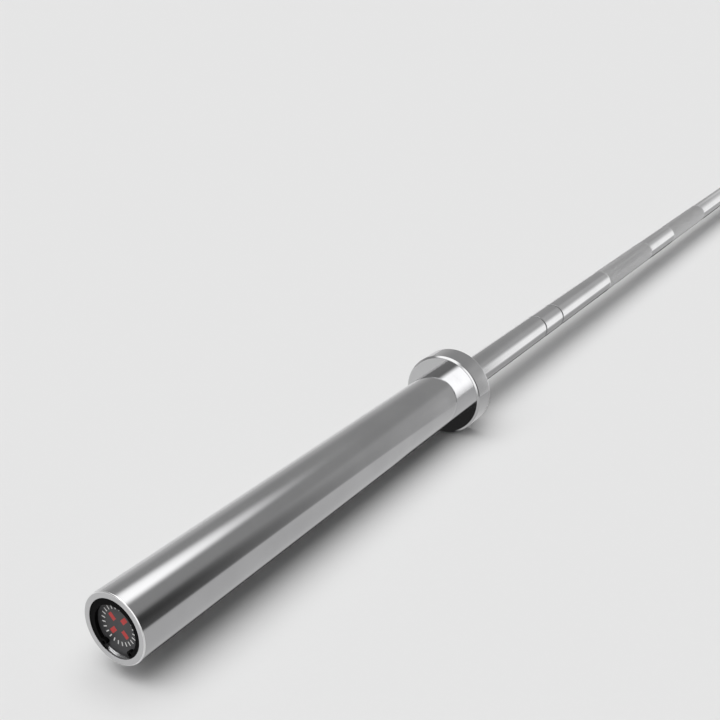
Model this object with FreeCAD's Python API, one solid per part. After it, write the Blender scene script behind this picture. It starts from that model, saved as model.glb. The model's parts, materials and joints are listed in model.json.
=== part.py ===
import FreeCAD, Part
import math
import os

# Olympic barbell: one steel shaft and two sleeves that spin on bronze bushings.
# X runs along the bar, Z is up, and the origin is the middle of the bar on its axis.
# All lengths are in millimetres.

# Whole bar
bar_length = 2200.0
collar_spacing = 1310.0
running_clearance = 0.05
pocket_clearance = 0.5
end_float = 0.2
edge_break = 0.4
cut_overrun = 5.0

# Shaft
grip_dia = 28.0
journal_dia = 25.0
undercut_dia = 24.4
undercut_width = 2.0
shaft_end_chamfer = 1.5
shaft_end_land = 4.0

# Ring marks on the shaft, turned to show hand spacing
inner_mark_spacing = 810.0
outer_mark_spacing = 910.0
mark_width = 3.0
mark_depth = 0.3

# Bands turned down to the root of the knurl
knurl_gap = 114.0
knurl_length = 183.0
knurl_root_depth = 0.25

# Collar
collar_dia = 76.0
collar_width = 24.0
collar_outer_round = 2.2
collar_inner_round = 1.0
collar_bore_chamfer = 0.8

# Sleeve tube
sleeve_dia = 50.0
sleeve_bore = 28.0
sleeve_end_chamfer = 0.5
collar_seat_dia = 46.0
seat_end_chamfer = 0.8
shoulder_recess = 1.5

# Bushings and washers
bushing_dia = 32.0
inner_bushing_length = 40.0
outer_bushing_length = 35.0
bushing_chamfer = 0.5
thrust_washer_width = 1.5
stop_washer_width = 2.0
stop_washer_dia = 33.0

# End cap and the pocket behind it
mouth_dia = 41.0
mouth_chamfer = 0.2
mouth_lip = 0.7
pocket_dia = 37.0
cap_width = 2.5
cap_clearance = 0.1
cap_edge_chamfer = 0.3
cap_panel_dia = 32.0
cap_panel_depth = 0.8
end_room = 8.0

# Internal ring that holds the end cap
cap_ring_width = 2.5
cap_ring_groove_dia = 44.0
cap_ring_bore = 33.6
cap_ring_offset = 1.1
cap_ring_lug_pitch_dia = 36.6
cap_ring_lug_dia = 5.2
cap_ring_hole_dia = 2.5
cap_ring_lug_angle = 37.0
cap_ring_gap_angle = 30.5

# External ring that holds the sleeve on the shaft
shaft_ring_width = 1.2
shaft_ring_groove_dia = 23.9
shaft_ring_dia = 31.0
shaft_ring_offset = 1.0
shaft_ring_lug_pitch_dia = 29.6
shaft_ring_lug_dia = 4.6
shaft_ring_hole_dia = 2.0
shaft_ring_lug_angle = 16.0
shaft_ring_gap_angle = 7.0

# Slack of a retaining ring in its groove, across its width and its radius
ring_side_slack = 0.1
ring_radial_slack = 0.1

# Radii
grip_r = grip_dia / 2
journal_r = journal_dia / 2
collar_r = collar_dia / 2
sleeve_r = sleeve_dia / 2
seat_r = collar_seat_dia / 2
bushing_r = bushing_dia / 2
mouth_r = mouth_dia / 2
pocket_r = pocket_dia / 2

# Stations along the right half of the bar, from the collar out to the sleeve's end
collar_inner_x = collar_spacing / 2
collar_outer_x = collar_inner_x + collar_width
inner_thrust_x = collar_inner_x + shoulder_recess
shoulder_x = inner_thrust_x - end_float
inner_bushing_x = inner_thrust_x + thrust_washer_width
inner_bushing_end_x = inner_bushing_x + inner_bushing_length
sleeve_end_x = bar_length / 2
cap_ring_groove_width = cap_ring_width + ring_side_slack
cap_ring_x = sleeve_end_x - mouth_lip - cap_ring_width
cap_seat_x = cap_ring_x - cap_width
shaft_end_x = cap_seat_x - end_room
shaft_ring_groove_width = shaft_ring_width + ring_side_slack
shaft_ring_x = shaft_end_x - shaft_end_land - shaft_ring_groove_width
stop_washer_x = shaft_ring_x - stop_washer_width
outer_thrust_x = stop_washer_x - end_float - thrust_washer_width
outer_bushing_x = outer_thrust_x - outer_bushing_length

AXIS_POINT = FreeCAD.Vector(0, 0, 0)
ALONG_BAR = FreeCAD.Vector(1, 0, 0)
UPWARDS = FreeCAD.Vector(0, 0, 1)


def turned(outline):
    """Solid turned about the bar's axis from (station, radius) points in order."""
    points = [FreeCAD.Vector(x, 0, r) for x, r in outline]
    face = Part.Face(Part.makePolygon(points + points[:1]))
    return face.revolve(AXIS_POINT, ALONG_BAR, 360)


def turned_groove(middle, width, depth, radius):
    """Points of a groove with 45 degree flanks, sunk into a cylinder of the given radius."""
    start = middle - width / 2
    end = middle + width / 2
    floor_r = radius - depth
    return [(start, radius), (start + depth, floor_r), (end - depth, floor_r), (end, radius)]


def chamfered_ring(start, width, inner_r, outer_r, chamfer):
    """Plain bush or washer with its four edges chamfered."""
    end = start + width
    return turned([
        (start, inner_r + chamfer),
        (start, outer_r - chamfer),
        (start + chamfer, outer_r),
        (end - chamfer, outer_r),
        (end, outer_r - chamfer),
        (end, inner_r + chamfer),
        (end - chamfer, inner_r),
        (start + chamfer, inner_r),
    ])


def eased(solid, station, radius, rounding):
    """Turned solid with the round edge at one station and radius filleted."""
    circles = [e for e in solid.Edges if isinstance(e.Curve, Part.Circle)]
    picked = [e for e in circles if round(e.Curve.Center.x - station, 3) == 0]
    return solid.makeFillet(rounding, [e for e in picked if round(e.Curve.Radius - radius, 3) == 0])


def disc(station, width, radius, y, z):
    """Cylinder along the bar about the given place across it."""
    return Part.makeCylinder(radius, width, FreeCAD.Vector(station, y, z), ALONG_BAR)


def gap_wedge(station, width, reach, half_angle, facing):
    """Wedge from the axis outwards, facing up (1) or down (-1), that opens a retaining ring."""
    side = reach * math.tan(math.radians(half_angle))
    corners = [
        FreeCAD.Vector(station, 0, 0),
        FreeCAD.Vector(station, side, facing * reach),
        FreeCAD.Vector(station, -side, facing * reach),
    ]
    face = Part.Face(Part.makePolygon(corners + corners[:1]))
    return face.extrude(ALONG_BAR * width)


def lug_places(pitch_dia, angle, facing):
    """Centres across the bar of a ring's two lugs, either side of its gap."""
    pitch_r = pitch_dia / 2
    across = pitch_r * math.sin(math.radians(angle))
    height = facing * pitch_r * math.cos(math.radians(angle))
    return [(across, height), (-across, height)]


def opened_ring(body, station, width, lug_dia, hole_dia, places, reach, gap_angle, facing):
    """Retaining ring: lugs joined to the body, then its gap and its plier holes cut."""
    for y, z in places:
        body = body.fuse(disc(station, width, lug_dia / 2, y, z))
    cut_start = station - cut_overrun
    cut_width = width + 2 * cut_overrun
    body = body.cut(gap_wedge(cut_start, cut_width, reach + cut_overrun, gap_angle, facing))
    for y, z in places:
        body = body.cut(disc(cut_start, cut_width, hole_dia / 2, y, z))
    return body.removeSplitter()


def shaft():
    """One bar: grip with knurl bands and ring marks, then a shoulder, journal and ring groove each end."""
    band_start = knurl_gap / 2
    band_end = band_start + knurl_length
    root_r = grip_r - knurl_root_depth
    undercut_r = undercut_dia / 2
    ring_groove_r = shaft_ring_groove_dia / 2
    undercut_end = shoulder_x + undercut_width
    half = [
        (band_start, grip_r),
        (band_start + knurl_root_depth, root_r),
        (band_end - knurl_root_depth, root_r),
        (band_end, grip_r),
    ]
    for spacing in (inner_mark_spacing, outer_mark_spacing):
        half += turned_groove(spacing / 2, mark_width, mark_depth, grip_r)
    half += [
        (shoulder_x - edge_break, grip_r),
        (shoulder_x, grip_r - edge_break),
        (shoulder_x, undercut_r),
        (undercut_end, undercut_r),
        (undercut_end + journal_r - undercut_r, journal_r),
        (shaft_ring_x, journal_r),
        (shaft_ring_x, ring_groove_r),
        (shaft_ring_x + shaft_ring_groove_width, ring_groove_r),
        (shaft_ring_x + shaft_ring_groove_width, journal_r),
        (shaft_end_x - shaft_end_chamfer, journal_r),
        (shaft_end_x, journal_r - shaft_end_chamfer),
        (shaft_end_x, 0),
    ]
    other_half = [(-x, r) for x, r in reversed(half)]
    return turned(other_half + half)


def collar():
    """Ring that stops the plates, shrunk on the tube's seat and up against its shoulder."""
    ring = turned([
        (collar_inner_x, seat_r + collar_bore_chamfer),
        (collar_inner_x, collar_r),
        (collar_outer_x, collar_r),
        (collar_outer_x, seat_r),
        (collar_inner_x + collar_bore_chamfer, seat_r),
    ])
    ring = eased(ring, collar_outer_x, collar_r, collar_outer_round)
    return eased(ring, collar_inner_x, collar_r, collar_inner_round)


def sleeve_tube():
    """Plate sleeve: collar seat outside; bushing seats, washer pocket, cap seat and ring groove inside."""
    bore_r = sleeve_bore / 2
    groove_r = cap_ring_groove_dia / 2
    groove_end = sleeve_end_x - mouth_lip
    groove_start = groove_end - cap_ring_groove_width
    return turned([
        (collar_inner_x, bushing_r + edge_break),
        (collar_inner_x, seat_r - seat_end_chamfer),
        (collar_inner_x + seat_end_chamfer, seat_r),
        (collar_outer_x, seat_r),
        (collar_outer_x, sleeve_r),
        (sleeve_end_x - sleeve_end_chamfer, sleeve_r),
        (sleeve_end_x, sleeve_r - sleeve_end_chamfer),
        (sleeve_end_x, mouth_r + mouth_chamfer),
        (sleeve_end_x - mouth_chamfer, mouth_r),
        (groove_end, mouth_r),
        (groove_end, groove_r),
        (groove_start, groove_r),
        (groove_start, mouth_r),
        (cap_seat_x, mouth_r),
        (cap_seat_x, pocket_r),
        (outer_thrust_x, pocket_r),
        (outer_thrust_x, bushing_r),
        (outer_bushing_x, bushing_r),
        (outer_bushing_x, bore_r),
        (inner_bushing_end_x, bore_r),
        (inner_bushing_end_x, bushing_r),
        (collar_inner_x + edge_break, bushing_r),
    ])


def inner_bushing():
    """Bronze bushing pressed into the inner end of the sleeve tube."""
    bore_r = journal_r + running_clearance
    return chamfered_ring(inner_bushing_x, inner_bushing_length, bore_r, bushing_r, bushing_chamfer)


def outer_bushing():
    """Bronze bushing pressed into the outer end of the sleeve tube."""
    bore_r = journal_r + running_clearance
    return chamfered_ring(outer_bushing_x, outer_bushing_length, bore_r, bushing_r, bushing_chamfer)


def inner_thrust_washer():
    """Bronze washer between the shaft's shoulder and the inner bushing."""
    bore_r = journal_r + pocket_clearance
    outer_r = bushing_r - running_clearance
    return chamfered_ring(inner_thrust_x, thrust_washer_width, bore_r, outer_r, edge_break)


def outer_thrust_washer():
    """Bronze washer on the outer bushing's end face."""
    bore_r = journal_r + pocket_clearance
    outer_r = pocket_r - running_clearance
    return chamfered_ring(outer_thrust_x, thrust_washer_width, bore_r, outer_r, edge_break)


def stop_washer():
    """Steel washer that turns with the shaft and bears on the bronze one."""
    bore_r = journal_r + running_clearance
    return chamfered_ring(stop_washer_x, stop_washer_width, bore_r, stop_washer_dia / 2, edge_break)


def end_cap():
    """Disc that closes the sleeve's mouth, with a rim under the ring and a panel sunk inside it."""
    radius = mouth_r - cap_clearance
    panel_r = cap_panel_dia / 2
    panel_x = cap_ring_x - cap_panel_depth
    return turned([
        (cap_seat_x, 0),
        (cap_seat_x, radius - cap_edge_chamfer),
        (cap_seat_x + cap_edge_chamfer, radius),
        (cap_ring_x - cap_edge_chamfer, radius),
        (cap_ring_x, radius - cap_edge_chamfer),
        (cap_ring_x, panel_r + cap_panel_depth),
        (panel_x, panel_r),
        (panel_x, 0),
    ])


def cap_retaining_ring():
    """Internal ring: thickest at the top, thinning to two inward lugs either side of a gap below."""
    facing = -1
    outer_r = cap_ring_groove_dia / 2 - ring_radial_slack
    body = disc(cap_ring_x, cap_ring_width, outer_r, 0, 0)
    bore = disc(
        cap_ring_x - cut_overrun,
        cap_ring_width + 2 * cut_overrun,
        cap_ring_bore / 2,
        0,
        facing * cap_ring_offset,
    )
    places = lug_places(cap_ring_lug_pitch_dia, cap_ring_lug_angle, facing)
    return opened_ring(
        body.cut(bore),
        cap_ring_x,
        cap_ring_width,
        cap_ring_lug_dia,
        cap_ring_hole_dia,
        places,
        outer_r,
        cap_ring_gap_angle,
        facing,
    )


def shaft_retaining_ring():
    """External ring: thickest below, thinning to two outward lugs either side of a gap above."""
    facing = 1
    outer_r = shaft_ring_dia / 2
    body = disc(shaft_ring_x, shaft_ring_width, outer_r, 0, -facing * shaft_ring_offset)
    places = lug_places(shaft_ring_lug_pitch_dia, shaft_ring_lug_angle, facing)
    reach = shaft_ring_lug_pitch_dia / 2 + shaft_ring_lug_dia / 2
    ring = opened_ring(
        body,
        shaft_ring_x,
        shaft_ring_width,
        shaft_ring_lug_dia,
        shaft_ring_hole_dia,
        places,
        reach,
        shaft_ring_gap_angle,
        facing,
    )
    bore = disc(
        shaft_ring_x - cut_overrun,
        shaft_ring_width + 2 * cut_overrun,
        shaft_ring_groove_dia / 2 + ring_radial_slack,
        0,
        0,
    )
    return ring.cut(bore)


END_PIECES = {
    "sleeve_tube": sleeve_tube,
    "collar": collar,
    "inner_bushing": inner_bushing,
    "outer_bushing": outer_bushing,
    "inner_thrust_washer": inner_thrust_washer,
    "outer_thrust_washer": outer_thrust_washer,
    "stop_washer": stop_washer,
    "shaft_retaining_ring": shaft_retaining_ring,
    "end_cap": end_cap,
    "cap_retaining_ring": cap_retaining_ring,
}

os.makedirs("parts", exist_ok=True)
shaft().exportStep("parts/shaft.step")
for name, make in END_PIECES.items():
    piece = make()
    piece.exportStep("parts/right_" + name + ".step")
    turned_round = piece.copy()
    turned_round.rotate(AXIS_POINT, UPWARDS, 180)
    turned_round.exportStep("parts/left_" + name + ".step")
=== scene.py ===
import json
import math

import bpy
import numpy as np
from mathutils import Matrix, Vector


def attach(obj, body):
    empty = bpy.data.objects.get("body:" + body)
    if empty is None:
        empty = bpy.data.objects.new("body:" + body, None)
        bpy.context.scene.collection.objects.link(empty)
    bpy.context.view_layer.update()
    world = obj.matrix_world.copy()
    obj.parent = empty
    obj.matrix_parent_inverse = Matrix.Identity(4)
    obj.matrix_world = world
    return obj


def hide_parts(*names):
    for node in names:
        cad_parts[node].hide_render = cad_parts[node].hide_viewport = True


# Olympic barbell, dressed: turned tubes and collars with broken edges, a ground shaft
# with cut knurl diamonds, and the finishes of every piece.
# X runs along the bar, Z is up, and the origin is the middle of the bar on its axis.
# Outlines are in millimetres, everything else in metres.

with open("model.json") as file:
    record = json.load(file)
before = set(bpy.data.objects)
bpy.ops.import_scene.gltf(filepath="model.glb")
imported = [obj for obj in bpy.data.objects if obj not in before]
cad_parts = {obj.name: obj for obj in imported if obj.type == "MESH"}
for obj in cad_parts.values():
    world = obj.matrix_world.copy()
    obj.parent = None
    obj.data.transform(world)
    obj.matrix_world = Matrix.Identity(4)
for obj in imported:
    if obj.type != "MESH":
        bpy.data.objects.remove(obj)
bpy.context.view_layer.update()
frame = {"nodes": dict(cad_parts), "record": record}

MM = 0.001
TURN = 2 * math.pi
DEGREES = 180 / math.pi


class Wire:
    """An output socket that takes part in sums: each operator adds one Math node."""

    def __init__(self, socket):
        self.socket = socket
        self.tree = socket.id_data

    @classmethod
    def add(cls, tree, kind, settings=None, inputs=None, out=0):
        """Adds a node of any kind: settings first, then its sockets' values or links."""
        node = tree.nodes.new(kind)
        for key, value in (settings or {}).items():
            setattr(node, key, value)
        for key, value in (inputs or {}).items():
            if isinstance(value, Wire):
                tree.links.new(value.socket, node.inputs[key])
            else:
                node.inputs[key].default_value = value
        return cls(node.outputs[out]) if len(node.outputs) else None

    def out(self, key):
        """Another output of the same node."""
        return Wire(self.socket.node.outputs[key])

    def math(self, operation, *others):
        """One Math node, with this value as its first input."""
        sockets = dict(enumerate((self,) + others))
        return Wire.add(self.tree, "ShaderNodeMath", {"operation": operation}, sockets)

    def __add__(self, other):
        return self.math("ADD", other)

    def __sub__(self, other):
        return self.math("SUBTRACT", other)

    def __mul__(self, other):
        return self.math("MULTIPLY", other)

    def __truediv__(self, other):
        return self.math("DIVIDE", other)

    def __rsub__(self, other):
        return self * -1 + other

    __radd__ = __add__
    __rmul__ = __mul__

    def __abs__(self):
        return self.math("ABSOLUTE")

    def step(self, low, high):
        """0 below low, 1 above high, and a smooth rise between."""
        return Wire.add(
            self.tree,
            "ShaderNodeMapRange",
            {"interpolation_type": "SMOOTHSTEP"},
            {"Value": self, "From Min": low, "From Max": high, "To Min": 0.0, "To Max": 1.0},
        )

    def band(self, low, low_full, high_full, high):
        """1 between the two full values, falling smoothly to 0 at the outer two."""
        return self.step(low, low_full) * (1 - self.step(high_full, high))

    def mix(self, at_zero, at_one):
        """A colour between two colours or colour wires, by this value."""
        first, second = (c if isinstance(c, Wire) else (*c, 1.0) for c in (at_zero, at_one))
        return Wire.add(
            self.tree,
            "ShaderNodeMix",
            {"data_type": "RGBA"},
            {"Factor": self, 6: first, 7: second},
            out=2,
        )


def grey(level):
    """A neutral colour."""
    return (level, level, level)


# Finishes


def empty_finish(name):
    """A new material with no nodes, and its place in the object's own coordinates."""
    finish = bpy.data.materials.new(name)
    finish.use_nodes = True
    tree = finish.node_tree
    tree.nodes.clear()
    place = Wire.add(tree, "ShaderNodeTexCoord", out="Object")
    return finish, tree, place


def split(tree, vector):
    """The three parts of a place or direction: along the bar, across it, and up."""
    x = Wire.add(tree, "ShaderNodeSeparateXYZ", inputs={"Vector": vector}, out="X")
    return x, x.out("Y"), x.out("Z")


def from_axis(y, z):
    """Radius from the bar's axis."""
    return (y * y + z * z).math("SQRT")


def noise(tree, place, scale, detail=3.0, rough=0.5):
    """Soft noise through the object's space, from 0 to 1."""
    return Wire.add(
        tree,
        "ShaderNodeTexNoise",
        {"noise_dimensions": "3D"},
        {"Vector": place, "Scale": scale, "Detail": detail, "Roughness": rough},
    )


def line_noise(tree, distance, per_metre):
    """Noise along one distance only, as tool lines are."""
    return Wire.add(
        tree,
        "ShaderNodeTexNoise",
        {"noise_dimensions": "1D"},
        {"W": distance * per_metre, "Scale": 1.0, "Detail": 2.0, "Roughness": 0.6},
    )


def close_finish(tree, constants, varying, height, strength, distance=0.00002):
    """Principled surface from its constants, what varies over it, and a height for its bump."""
    bump = Wire.add(
        tree,
        "ShaderNodeBump",
        inputs={"Strength": strength, "Distance": distance, "Height": height},
        out="Normal",
    )
    inputs = {**constants, **varying, "Normal": bump}
    surface = Wire.add(tree, "ShaderNodeBsdfPrincipled", inputs=inputs)
    Wire.add(tree, "ShaderNodeOutputMaterial", inputs={"Surface": surface})


MARK_STATIONS = (0.405, 0.455)
MARK_HALF_WIDTH = (0.0013, 0.0017)
MARK_GREY = (0.31, 0.31, 0.315)
MARK_DULLNESS = 0.42
POLISH_GAIN = 0.06
POLISH_FADE = 0.015
# Near-white colour painted on a broken edge as a highlight, not the steel's own tone.
RIM_PAINTED_HIGHLIGHT = grey(0.93)


def turned_metal(
    name, dark, light, gloss, lines, line_depth,
    smudge=0.03, marks=(), grazing=1.0, polish=None, rim=None,
):
    """Plated steel off a lathe: tool lines round the axis, faint smudges, a slow change of tone.

    Gloss is its roughness, and lines and line_depth give the tool lines per metre and their bump.
    Marks are distances from the middle of the bar where a narrow ring is left dull, and grazing
    is how much of the plating's grazing gloss it keeps. Nearer the middle than polish it is
    smoother. Rim is the sum of station and radius past which a broken edge is given a near-white
    colour, a painted highlight that makes the edge read as a bright line.
    """
    finish, tree, place = empty_finish(name)
    x, y, z = split(tree, place)
    r = from_axis(y, z)
    station = abs(x)
    tool = line_noise(tree, x + r, lines)
    cloud = noise(tree, place, 26.0, 4.0, 0.55)
    fine = noise(tree, place, 420.0, 2.0)
    tone = cloud.step(0.3, 0.7) * 0.7 + tool * 0.3
    rough = gloss + (cloud - 0.5) * smudge + (fine - 0.5) * (smudge * 0.5) + (tool - 0.5) * 0.02
    colour = tone.mix(dark, light)
    if polish is not None:
        rough = rough - (1 - station.step(polish, polish + POLISH_FADE)) * POLISH_GAIN
    # Painted highlight: past the rim, the edge's colour is raised to near white.
    if rim is not None:
        painted_highlight = (station + r).step(rim - 0.0003, rim - 0.00015)
        colour = painted_highlight.mix(colour, RIM_PAINTED_HIGHLIGHT)
    for middle in marks:
        dull = 1 - abs(station - middle).step(*MARK_HALF_WIDTH)
        rough = rough + dull * MARK_DULLNESS
        colour = dull.mix(colour, MARK_GREY)
    close_finish(
        tree,
        {"Metallic": 1.0, "Specular Tint": (*grey(grazing), 1.0)},
        {"Base Color": colour, "Roughness": rough},
        tool,
        line_depth,
    )
    return finish


def knurl_steel():
    """Cut knurl: duller than the ground bar, greyer in its grooves and brighter on worn tips."""
    finish, tree, place = empty_finish("knurl_steel")
    x, y, z = split(tree, place)
    tip = from_axis(y, z).step(0.01378, 0.01402)
    grain = noise(tree, place, 900.0)
    patch = noise(tree, place, 30.0)
    tone = tip * 0.6 + grain * 0.25 + patch * 0.15
    close_finish(
        tree,
        {"Metallic": 1.0},
        {
            "Base Color": tone.mix((0.60, 0.60, 0.605), (0.90, 0.90, 0.90)),
            "Roughness": 0.22 - tip * 0.04 + (grain - 0.5) * 0.10,
        },
        grain,
        0.15,
        0.00003,
    )
    return finish


def bearing_bronze():
    """Sintered bronze: fine dark pores, oil-dark patches, and a dull warm surface."""
    finish, tree, place = empty_finish("bearing_bronze")
    pores = noise(tree, place, 1500.0, 4.0, 0.7)
    oil = noise(tree, place, 60.0)
    tone = pores.step(0.35, 0.6) * 0.65 + oil * 0.35
    close_finish(
        tree,
        {"Metallic": 1.0},
        {
            "Base Color": tone.mix((0.30, 0.19, 0.08), (0.66, 0.46, 0.22)),
            "Roughness": 0.42 + (oil - 0.5) * 0.2,
        },
        pores,
        0.3,
        0.00004,
    )
    return finish


def black_oxide():
    """Blackened spring steel: near black, slightly oily, with a faint grain from rolling."""
    finish, tree, place = empty_finish("black_oxide")
    grain = noise(tree, place, 700.0)
    oil = noise(tree, place, 90.0, 2.0)
    tone = grain * 0.6 + oil * 0.4
    close_finish(
        tree,
        {"Metallic": 0.0, "Specular IOR Level": 0.02},
        {
            "Base Color": tone.mix((0.002, 0.002, 0.002), (0.006, 0.006, 0.0065)),
            "Roughness": 0.34 + (grain - 0.5) * 0.2,
        },
        grain,
        0.2,
        0.00003,
    )
    return finish


TICKS = 24
TICK_HALF_WIDTH = (0.00034, 0.00042)
TICK_REACH = (0.0112, 0.0113, 0.0141, 0.0142)
TICK_WHITE = (0.78, 0.78, 0.77)
BARS = 4
BAR_HALF_WIDTH = (0.00160, 0.00170)
BAR_REACH = (0.0042, 0.0043, 0.0096, 0.0097)
BAR_RED = (0.52, 0.030, 0.028)


def moulded_cap():
    """Dark moulded disc with a plain printed index: white ticks round it and four red bars."""
    finish, tree, place = empty_finish("moulded_cap")
    x, y, z = split(tree, place)
    r = from_axis(y, z)
    turn = z.math("ARCTAN2", y) / TURN + 1.0
    grain = noise(tree, place, 2600.0)
    shade = noise(tree, place, 70.0)

    def printed(count, half_width, reach):
        """Evenly spaced strokes that point to the middle."""
        across = abs((turn * count).math("FRACT") - 0.5) * r * (TURN / count)
        return (1 - across.step(*half_width)) * r.band(*reach)

    tick = printed(TICKS, TICK_HALF_WIDTH, TICK_REACH)
    bar = printed(BARS, BAR_HALF_WIDTH, BAR_REACH)
    ink = tick + bar
    colour = (grain * 0.5 + shade * 0.5).mix((0.034, 0.034, 0.036), (0.060, 0.060, 0.063))
    colour = tick.mix(colour, TICK_WHITE)
    colour = bar.mix(colour, BAR_RED)
    close_finish(
        tree,
        {"Specular IOR Level": 0.4},
        {"Base Color": colour, "Roughness": 0.46 + (shade - 0.5) * 0.12 - ink * 0.08},
        grain * 0.5 + ink * 0.5,
        0.25,
        0.00004,
    )
    return finish


FINISHES = {
    # The sleeve's rim value paints a highlight on the broken edge of its end.
    "sleeve_steel": turned_metal(
        "sleeve_steel", (0.54, 0.54, 0.546), (0.585, 0.585, 0.59),
        gloss=0.13, lines=5200.0, line_depth=0.05, polish=0.701, rim=1.1245,
    ),
    "collar_chrome": turned_metal(
        "collar_chrome", (0.525, 0.525, 0.53), (0.565, 0.565, 0.57),
        gloss=0.07, lines=7000.0, line_depth=0.02, smudge=0.02,
    ),
    "shaft_steel": turned_metal(
        "shaft_steel", (0.54, 0.54, 0.545), (0.59, 0.59, 0.595),
        gloss=0.11, lines=6000.0, line_depth=0.05, marks=MARK_STATIONS, grazing=0.9,
    ),
    "washer_steel": turned_metal(
        "washer_steel", (0.38, 0.38, 0.39), (0.50, 0.50, 0.51),
        gloss=0.30, lines=3000.0, line_depth=0.15, smudge=0.08,
    ),
    "bronze": bearing_bronze(),
    "ring_steel": black_oxide(),
    "cap_plastic": moulded_cap(),
}
KNURL_STEEL = knurl_steel()


# Shapes

EDGE_ROUND = 0.15
ARC_STEPS = 6
LONGEST_REACH = 0.28
ROUND_SEGMENTS = 192
SHAFT_SEGMENTS = 128


def rounded(outline, closed):
    """Corners of an outline broken to small arcs.

    Each corner P becomes the curve (1-t)^2 A + 2t(1-t) P + t^2 B, where A and B lie a little
    way back along its two sides, with one more point on each side to keep the flats flat.
    A third number on an outline point is that corner's own rounding, and no corner takes more
    than a share of its shorter side.
    """
    points = np.array([corner[:2] for corner in outline], float)
    radius = np.array([corner[2] if len(corner) > 2 else EDGE_ROUND for corner in outline], float)
    back = np.roll(points, 1, axis=0) - points
    ahead = np.roll(points, -1, axis=0) - points
    back_length = np.linalg.norm(back, axis=1)
    ahead_length = np.linalg.norm(ahead, axis=1)
    reach = np.minimum(radius, LONGEST_REACH * np.minimum(back_length, ahead_length))[:, None]
    flat = reach * 1.3 + 0.02
    back = back / back_length[:, None]
    ahead = ahead / ahead_length[:, None]
    t = np.linspace(0.0, 1.0, ARC_STEPS + 1)[None, :, None]
    start = (points + back * reach)[:, None, :]
    end = (points + ahead * reach)[:, None, :]
    arc = (1 - t) ** 2 * start + 2 * t * (1 - t) * points[:, None, :] + t**2 * end
    before = (points + back * flat)[:, None, :]
    after = (points + ahead * flat)[:, None, :]
    path = np.concatenate([before, arc, after], axis=1)
    if closed:
        return path.reshape(-1, 2)
    return np.concatenate([points[:1], path[1:-1].reshape(-1, 2), points[-1:]])


def fill_mesh(name, vertices, faces, smooth):
    """New object at the origin from whole arrays of vertices and faces."""
    mesh = bpy.data.meshes.new(name)
    mesh.from_pydata(vertices.tolist(), [], faces)
    mesh.polygons.foreach_set("use_smooth", np.full(len(faces), smooth))
    mesh.update()
    piece = bpy.data.objects.new(name, mesh)
    bpy.context.scene.collection.objects.link(piece)
    return piece


def lathe(name, outline, closed, sign, segments=ROUND_SEGMENTS):
    """Surface of revolution about the bar's axis.

    Outline point i at station x and radius r, carried round by angle a, is (x, r cos a, r sin a).
    A closed outline joins its last ring to its first; an open one ends in a point on the axis.
    Sign 1 is the right end of the bar, and -1 turns the piece half round the upright axis.
    """
    path = rounded(outline, closed) * MM
    angle = np.linspace(0.0, TURN, segments, endpoint=False)
    body = path if closed else path[1:-1]
    station = np.repeat(body[:, :1], segments, axis=1)
    across = body[:, 1:] * np.cos(angle)[None, :]
    height = body[:, 1:] * np.sin(angle)[None, :]
    vertices = np.stack([station * sign, across * sign, height], axis=-1).reshape(-1, 3)
    rings = len(body)
    i = np.arange(rings if closed else rings - 1)[:, None]
    j = np.arange(segments)[None, :]
    here = i * segments
    following = (i + 1) % rings * segments
    beside = (j + 1) % segments
    corners = [here + j, here + beside, following + beside, following + j]
    faces = np.stack(corners, axis=-1).reshape(-1, 4).tolist()
    if not closed:
        poles = np.array([[path[0, 0] * sign, 0, 0], [path[-1, 0] * sign, 0, 0]])
        vertices = np.concatenate([vertices, poles])
        first = np.arange(segments)
        second = (first + 1) % segments
        last = (rings - 1) * segments
        pole = np.full(segments, rings * segments)
        faces += np.stack([pole, second, first], axis=-1).tolist()
        faces += np.stack([pole + 1, last + first, last + second], axis=-1).tolist()
    return fill_mesh(name, vertices, faces, True)


# Outlines: station along the bar, radius from its axis, and a corner's own rounding

TUBE = [
    (655.0, 16.4), (655.0, 22.2), (655.8, 23.0), (679.0, 23.0), (679.0, 25.0, 0.03),
    (1099.5, 25.0, 0.14), (1100.0, 24.5, 0.14), (1100.0, 20.5, 0.2), (1099.3, 20.5, 0.1),
    (1099.3, 22.0), (1096.7, 22.0), (1096.7, 20.5), (1094.3, 20.5), (1094.3, 18.5),
    (1077.3, 18.5), (1077.3, 16.0), (1042.3, 16.0), (1042.3, 14.0), (698.0, 14.0),
    (698.0, 16.0), (655.4, 16.0),
]
COLLAR = [
    (655.0, 23.8), (655.0, 38.0, 1.0), (677.3, 38.0, 0.7), (679.0, 36.3, 0.3),
    (679.0, 23.0), (655.8, 23.0),
]
CAP = [
    (1094.3, 0.0), (1094.3, 20.1), (1094.6, 20.4), (1096.5, 20.4),
    (1096.8, 20.1), (1096.8, 18.4), (1096.0, 15.2), (1096.0, 0.0),
]

GRIP_R = 14.0
MARK_FLOOR_R = 13.7

KNURL_START = 57.0
KNURL_END = 240.0
KNURL_SEAT_R = 13.4
KNURL_ROOT_R = 13.75
KNURL_TIP_R = 14.0
KNURL_END_R = 13.96
KNURL_PITCH = 2.6
KNURL_DIAMONDS = 58


def ring_mark(middle):
    """Ring mark turned into the grip."""
    return [
        (middle - 1.5, GRIP_R), (middle - 1.2, MARK_FLOOR_R),
        (middle + 1.2, MARK_FLOOR_R), (middle + 1.5, GRIP_R),
    ]


SHAFT_HALF = [
    (KNURL_START, GRIP_R), (KNURL_START, KNURL_SEAT_R),
    (KNURL_END, KNURL_SEAT_R), (KNURL_END, GRIP_R),
    *ring_mark(405.0), *ring_mark(455.0),
    (655.9, GRIP_R), (656.3, 13.6), (656.3, 12.2), (658.3, 12.2), (658.6, 12.5),
    (1081.0, 12.5), (1081.0, 11.95), (1082.3, 11.95), (1082.3, 12.5),
    (1084.8, 12.5), (1086.3, 11.0), (1086.3, 0.0),
]
SHAFT = [(-x, r) for x, r in reversed(SHAFT_HALF)] + SHAFT_HALF


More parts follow.
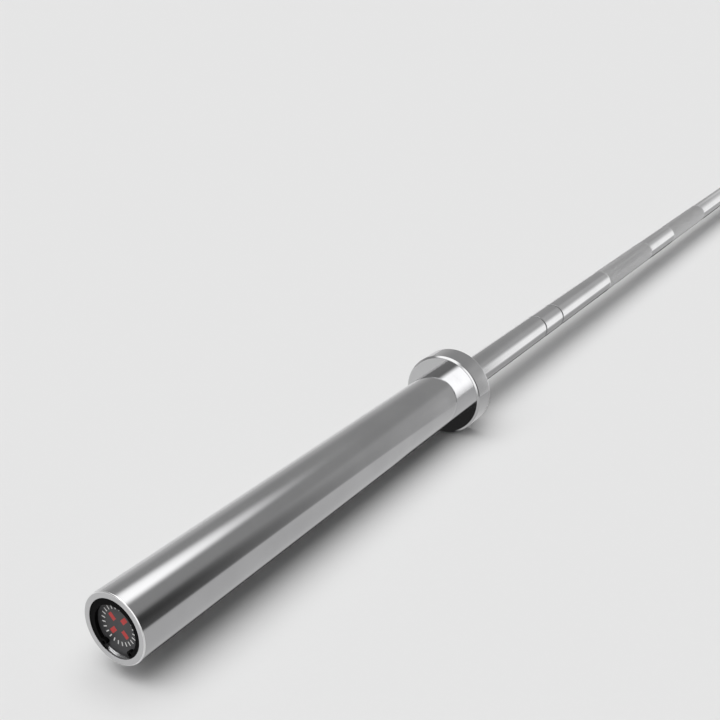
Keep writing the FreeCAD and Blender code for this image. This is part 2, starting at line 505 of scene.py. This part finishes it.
def knurl_band(name, sign):
    """Diamond knurl cut into one band of the grip.

    On a grid of half pitches round and along the bar, every other point is a tip and the rest
    are groove crossings. Each cell is split along its groove, so four faces meet at each tip.
    The ends run out flush with the grip, and a plain wall inside closes the band.
    """
    columns = 2 * KNURL_DIAMONDS
    rows = 2 * round((KNURL_END - KNURL_START) / KNURL_PITCH)
    i = np.arange(rows + 1)[:, None]
    j = np.arange(columns)[None, :]
    tip = (i + j) % 2 == 1
    inside = (i > 0) & (i < rows)
    cut = np.where(tip, KNURL_TIP_R, KNURL_ROOT_R)
    radius = np.where(inside, cut, KNURL_END_R)
    station = KNURL_START + (KNURL_END - KNURL_START) * i / rows + 0 * j
    seat = np.full((1, columns), KNURL_SEAT_R)
    radius = np.concatenate([seat, radius, seat])
    station = np.concatenate([station[:1], station, station[-1:]])
    angle = TURN * j / columns
    across = radius * np.cos(angle)
    height = radius * np.sin(angle)
    vertices = np.stack([station * sign, across * sign, height], axis=-1).reshape(-1, 3) * MM
    total = rows + 3
    a = np.arange(total)[:, None]
    b = np.arange(columns)[None, :]
    after = (a + 1) % total
    beside = (b + 1) % columns
    one = a * columns + b
    two = a * columns + beside
    three = after * columns + beside
    four = after * columns + b
    even = ((a - 1 + b) % 2 == 0)[..., None]
    lower = np.where(even, np.stack([one, two, three], -1), np.stack([one, two, four], -1))
    upper = np.where(even, np.stack([one, three, four], -1), np.stack([two, three, four], -1))
    faces = np.concatenate([lower.reshape(-1, 3), upper.reshape(-1, 3)]).tolist()
    return fill_mesh(name, vertices, faces, False)


def dress(piece, body, slot, finish, *nodes):
    """Puts a finish on a new piece, hangs it on the body it rides on and hides the pieces it
    stands for.
    """
    piece.data.materials.append(finish)
    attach(piece, body)
    if nodes:
        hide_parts(*nodes)


bar = lathe("ground_shaft", SHAFT, False, 1, SHAFT_SEGMENTS)
dress(bar, "shaft", "shaft_steel", FINISHES["shaft_steel"], "shaft")
for side, sign in (("left", -1), ("right", 1)):
    body = side + "_sleeve"
    tube = lathe(side + "_turned_tube", TUBE, True, sign)
    dress(tube, body, "sleeve_steel", FINISHES["sleeve_steel"], side + "_sleeve_tube")
    ring = lathe(side + "_polished_collar", COLLAR, True, sign)
    dress(ring, body, "collar_chrome", FINISHES["collar_chrome"], side + "_collar")
    cap = lathe(side + "_printed_cap", CAP, False, sign)
    dress(cap, body, "cap_plastic", FINISHES["cap_plastic"], side + "_end_cap")
    dress(knurl_band(side + "_knurl_band", sign), "shaft", "shaft_steel", KNURL_STEEL)

# Pieces kept as they were made, each with its slot's finish

slots = {entry["node"]: entry["material_slot"] for entry in frame["record"]["subparts"]}
for node, piece in frame["nodes"].items():
    piece.data.materials.clear()
    piece.data.materials.append(FINISHES[slots[node]])

# Floor

FLOOR_Z = -0.038
FLOOR_REACH = 60.0


def pale_floor():
    """Pale matt floor that keeps the bar's shadow.

    What the metal mirrors of the strip beside the bar is a painted reflection: for glossy rays
    the strip glows with an even tone set by its place along the bar, has a painted shadow right
    under the bar, is painted brighter in a second reflection, and past the strip the metal
    mirrors the studio.
    """
    finish, tree, place = empty_finish("pale_floor")
    x, y, z = split(tree, place)
    speck = noise(tree, place, 300.0, 2.0)
    matt = Wire.add(
        tree,
        "ShaderNodeBsdfDiffuse",
        inputs={"Color": speck.mix(grey(0.775), grey(0.785))},
    )
    clear = Wire.add(tree, "ShaderNodeBsdfTransparent")
    glossy = Wire.add(tree, "ShaderNodeLightPath", out="Is Glossy Ray")
    twice = glossy.out("Glossy Depth").step(1.0, 2.0)
    aside = y * -1
    strip = 0.34 - x.step(-0.66, -0.50) * 0.262 + x.step(-0.6, 1.0) * 0.09
    far = (aside / strip).step(0.6, 1.3)
    # Painted shadow: under the bar, the glow that glossy rays see falls to near black in a narrow
    # strip.
    beneath = x.step(-1.10, -1.07)
    inward = x.step(-0.78, -0.74) * 0.004 - x.step(-0.66, -0.62) * 0.012
    inward = inward + x.step(-0.30, -0.10) * 0.008
    outside_painted_shadow = 1 - beneath * (1 - (aside - inward).step(0.009, 0.019))
    # Painted reflection: the tone of the glow that glossy rays see beside the bar, set by place
    # along the bar and raised in a second reflection.
    tone = 0.57 + x.step(-0.92, -0.74) * 0.04 - x.step(-0.66, -0.50) * 0.16
    tone = tone + x.step(-0.25, -0.05) * 0.09
    tone = tone * (1 + twice * 0.65) * outside_painted_shadow + 0.03
    beside = (aside + beneath * 0.034).step(0.010, 0.018)
    # Glow seen only by glossy rays, a painted reflection of the lit floor that gives no light.
    mirrored = Wire.add(tree, "ShaderNodeEmission", inputs={"Color": tone})
    matt_or_painted_reflection = Wire.add(
        tree, "ShaderNodeMixShader", inputs={0: glossy * beside, 1: matt, 2: mirrored}
    )
    surface = Wire.add(
        tree, "ShaderNodeMixShader", inputs={0: glossy * far, 1: matt_or_painted_reflection, 2: clear}
    )
    Wire.add(tree, "ShaderNodeOutputMaterial", inputs={"Surface": surface})
    finish.cycles.emission_sampling = "NONE"
    return finish


floor_corners = np.array([(-1, -1, 0), (1, -1, 0), (1, 1, 0), (-1, 1, 0)]) * FLOOR_REACH
floor = fill_mesh("floor", floor_corners + np.array([0, 0, FLOOR_Z]), [(0, 1, 2, 3)], False)
floor.data.materials.append(pale_floor())

# Studio

BACKGROUND_WHITE = 0.776
STUDIO_LEVEL = 0.64


def studio():
    """Studio that the metal mirrors, by direction from the bar.

    Grey walls, one stretch dark and two paler, a pale ground below, a soft panel overhead, a
    pale backdrop past the right end and a panel before the left end, which is strongest in the
    second reflections between the sleeve and the collar. The floor gets no light from it.
    """
    world = bpy.data.worlds.new("studio")
    bpy.context.scene.world = world
    world.use_nodes = True
    tree = world.node_tree
    tree.nodes.clear()
    x, y, z = split(tree, Wire.add(tree, "ShaderNodeTexCoord", out="Generated"))
    camera_ray = Wire.add(tree, "ShaderNodeLightPath", out="Is Camera Ray")
    twice = camera_ray.out("Glossy Depth").step(1.0, 2.0)
    off_floor = 1 - camera_ray.out("Diffuse Depth").math("MINIMUM", 1.0)

    leftward = x * -1
    bearing = y.math("ARCTAN2", x) * DEGREES
    rise = z.math("ARCSINE") * DEGREES
    up = z.math("MAXIMUM", 0.05)
    off_axis = (1 - x * x).math("SQRT") + 0.01

    ground = 1 - rise.step(-14.0, -9.0)
    dark_wall = bearing.band(-120.0, -95.0, -55.0, -36.5) * rise.band(-20.0, -14.0, 23.0, 37.5)
    left_wall = bearing.band(10.0, 30.0, 100.0, 125.0) * (1 - rise.step(2.0, 30.0))
    left_wall = left_wall * (1 - x.step(0.80, 0.88))
    right_wall = x.step(0.58, 0.95) * (1 - y.step(-0.12, 0.08)) * (1 - rise.step(24.0, 33.0))
    walls = 0.55 + x.step(0.80, 0.90) * 0.13 + x.step(0.88, 0.95) * 0.07
    walls = walls + right_wall * 0.26 + left_wall * 0.42
    walls = walls - dark_wall * (0.395 + rise.step(-4.0, 18.0) * 0.08)
    walls = walls * (1 - ground) + ground * 0.94

    overhead = (rise + y * 3.0).step(42.5, 55.0)
    overhead = overhead * (y / up).step(-0.374, -0.004) * (x / up).step(-1.6, -1.2)

    backdrop_top = 13.5 + x.step(0.90, 0.95) * 1.2
    backdrop = x.step(0.8455, 0.853)
    backdrop = backdrop * (1 - ((rise - backdrop_top) / off_axis).step(-16.0, 13.0))
    backdrop = backdrop * rise.step(-30.0, -22.0) * (1 - bearing.step(4.0, 16.0))
    backdrop_light = 2.3 - x.step(0.87, 0.98) * 0.2 - x.step(0.965, 0.985) * 1.2

    front_edge = 0.2 - leftward.step(0.72, 0.80) * 0.2
    front = leftward.band(0.25, 0.60, 0.88, 0.94) * rise.band(-22.0, 18.0, 46.0, 60.0)
    front = front * (1 - (y - front_edge).step(0.02, 0.29))
    front_light = 2.3 - leftward.step(0.57, 0.64) * 1.1
    front_light = front_light + twice * leftward.band(0.77, 0.80, 0.86, 0.89) * 3.15

    light = walls * (1 - backdrop) + backdrop * backdrop_light
    light = light + overhead * 2.2 + front * front_light
    mirrored = (1 - camera_ray) * light * off_floor * STUDIO_LEVEL
    shade = Wire.add(
        tree,
        "ShaderNodeBackground",
        inputs={"Color": camera_ray * BACKGROUND_WHITE + mirrored},
    )
    Wire.add(tree, "ShaderNodeOutputWorld", inputs={"Surface": shade})
    world.cycles_visibility.diffuse = False


def soft_lamp(name, strength, spread, lean_x, lean_y):
    """Lamp overhead, leaned a little and as wide as its spread, that the metal doesn't mirror."""
    lamp_data = bpy.data.lights.new(name, "SUN")
    lamp_data.energy = strength
    lamp_data.angle = math.radians(spread)
    lamp = bpy.data.objects.new(name, lamp_data)
    lamp.rotation_euler = (math.radians(lean_x), math.radians(lean_y), 0.0)
    lamp.visible_glossy = False
    bpy.context.scene.collection.objects.link(lamp)


studio()
soft_lamp("key_lamp", 1.97, 66.0, -2.5, -4.0)
soft_lamp("end_lamp", 1.15, 60.0, -2.5, -38.0)
soft_lamp("fill_lamp", 0.30, 175.0, 0.0, 0.0)

# Camera, from the sight lines of the photograph

PHOTO_WIDTH = 720.0
FOCAL_PIXELS = 971.64
SENSOR_WIDTH = 36.0
PITCH = math.radians(21.266)
YAW = math.radians(32.016)
ROLL = math.radians(0.401)
STAND = Vector((-1.43120, -0.37912, 0.36097))

camera_data = bpy.data.cameras.new("camera")
camera_data.lens = FOCAL_PIXELS * SENSOR_WIDTH / PHOTO_WIDTH
camera_data.sensor_width = SENSOR_WIDTH
camera_data.clip_end = 200.0
camera = bpy.data.objects.new("camera", camera_data)
bpy.context.scene.collection.objects.link(camera)
forward = Vector(
    (math.cos(PITCH) * math.cos(YAW), math.cos(PITCH) * math.sin(YAW), -math.sin(PITCH))
)
level = Vector((math.sin(YAW), -math.cos(YAW), 0.0))
right = level * math.cos(ROLL) + level.cross(forward) * math.sin(ROLL)
upward = right.cross(forward)
turned = Matrix((right, upward, -forward)).transposed()
camera.matrix_world = Matrix.Translation(STAND) @ turned.to_4x4()
bpy.context.scene.camera = camera
bpy.context.scene.view_settings.view_transform = "Standard"
